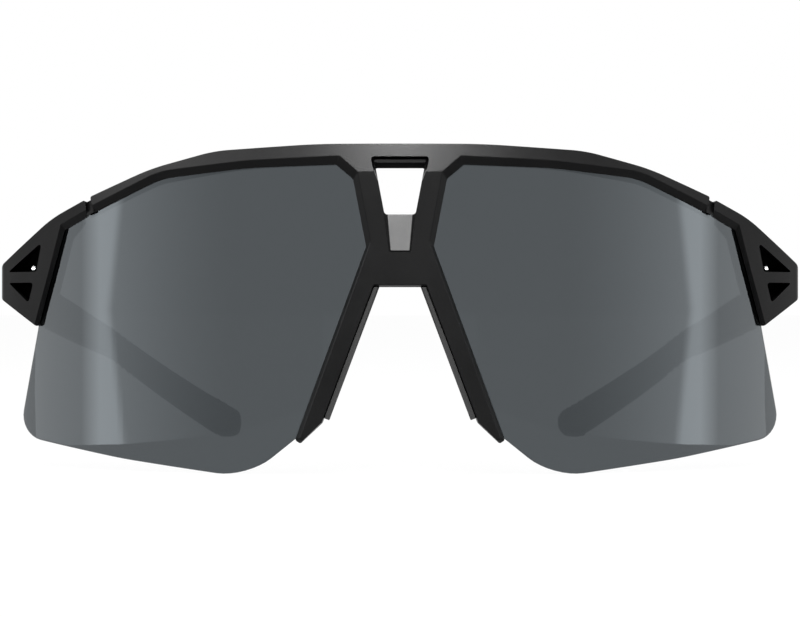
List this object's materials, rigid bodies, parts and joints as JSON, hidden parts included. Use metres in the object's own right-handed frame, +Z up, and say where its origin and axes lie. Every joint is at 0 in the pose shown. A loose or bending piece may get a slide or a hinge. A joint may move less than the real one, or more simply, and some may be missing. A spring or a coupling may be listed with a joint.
{
  "type": "wraparound sport sunglasses",
  "caption": "Wraparound sport sunglasses with a one-piece smoked shield lens, a black half frame, vented side pieces, soft nose pads and folding temples.",
  "frame": {"origin": "on the surface that the glasses stand on, under the middle of their width and depth", "axes": "+Z up, front faces -Y, temples run back to +Y, +X is the wearer's left"},
  "size_m": [0.1436, 0.1676, 0.0558],
  "materials": {
    "smoked_lens": "smoked grey polycarbonate, polished and slightly reflective",
    "frame_black": "black moulded nylon, fine matte grain",
    "badge_grey": "satin grey moulded plate, bare",
    "hinge_steel": "turned steel",
    "insert_brass": "plain brass",
    "sleeve_rubber": "soft matte rubber",
    "pad_rubber": "soft matte rubber",
    "core_steel": "plain annealed strip"
  },
  "bodies": {
    "front": {"shield_lens": "smoked_lens", "front_frame": "frame_black", "bridge_badge": "badge_grey", "left_endpiece": "frame_black", "left_hinge_pin": "hinge_steel", "left_hinge_insert": "insert_brass", "left_nose_pad": "pad_rubber", "left_nose_pad_core": "core_steel", "right_endpiece": "frame_black", "right_hinge_pin": "hinge_steel", "right_hinge_insert": "insert_brass", "right_nose_pad": "pad_rubber", "right_nose_pad_core": "core_steel"},
    "left_arm": {"left_temple": "frame_black", "left_temple_tip": "sleeve_rubber", "left_tip_core": "core_steel"},
    "right_arm": {"right_temple": "frame_black", "right_temple_tip": "sleeve_rubber", "right_tip_core": "core_steel"}
  },
  "joints": [
    {"name": "left_temple_fold", "type": "hinge", "parent": "front", "child": "left_arm", "pos_m": [0.0676, -0.0327, 0.0323], "axis": [0, 0, 1], "range_deg": [0, 85]},
    {"name": "right_temple_fold", "type": "hinge", "parent": "front", "child": "right_arm", "pos_m": [-0.0676, -0.0327, 0.0323], "axis": [0, 0, -1], "range_deg": [0, 76]}
  ]
}
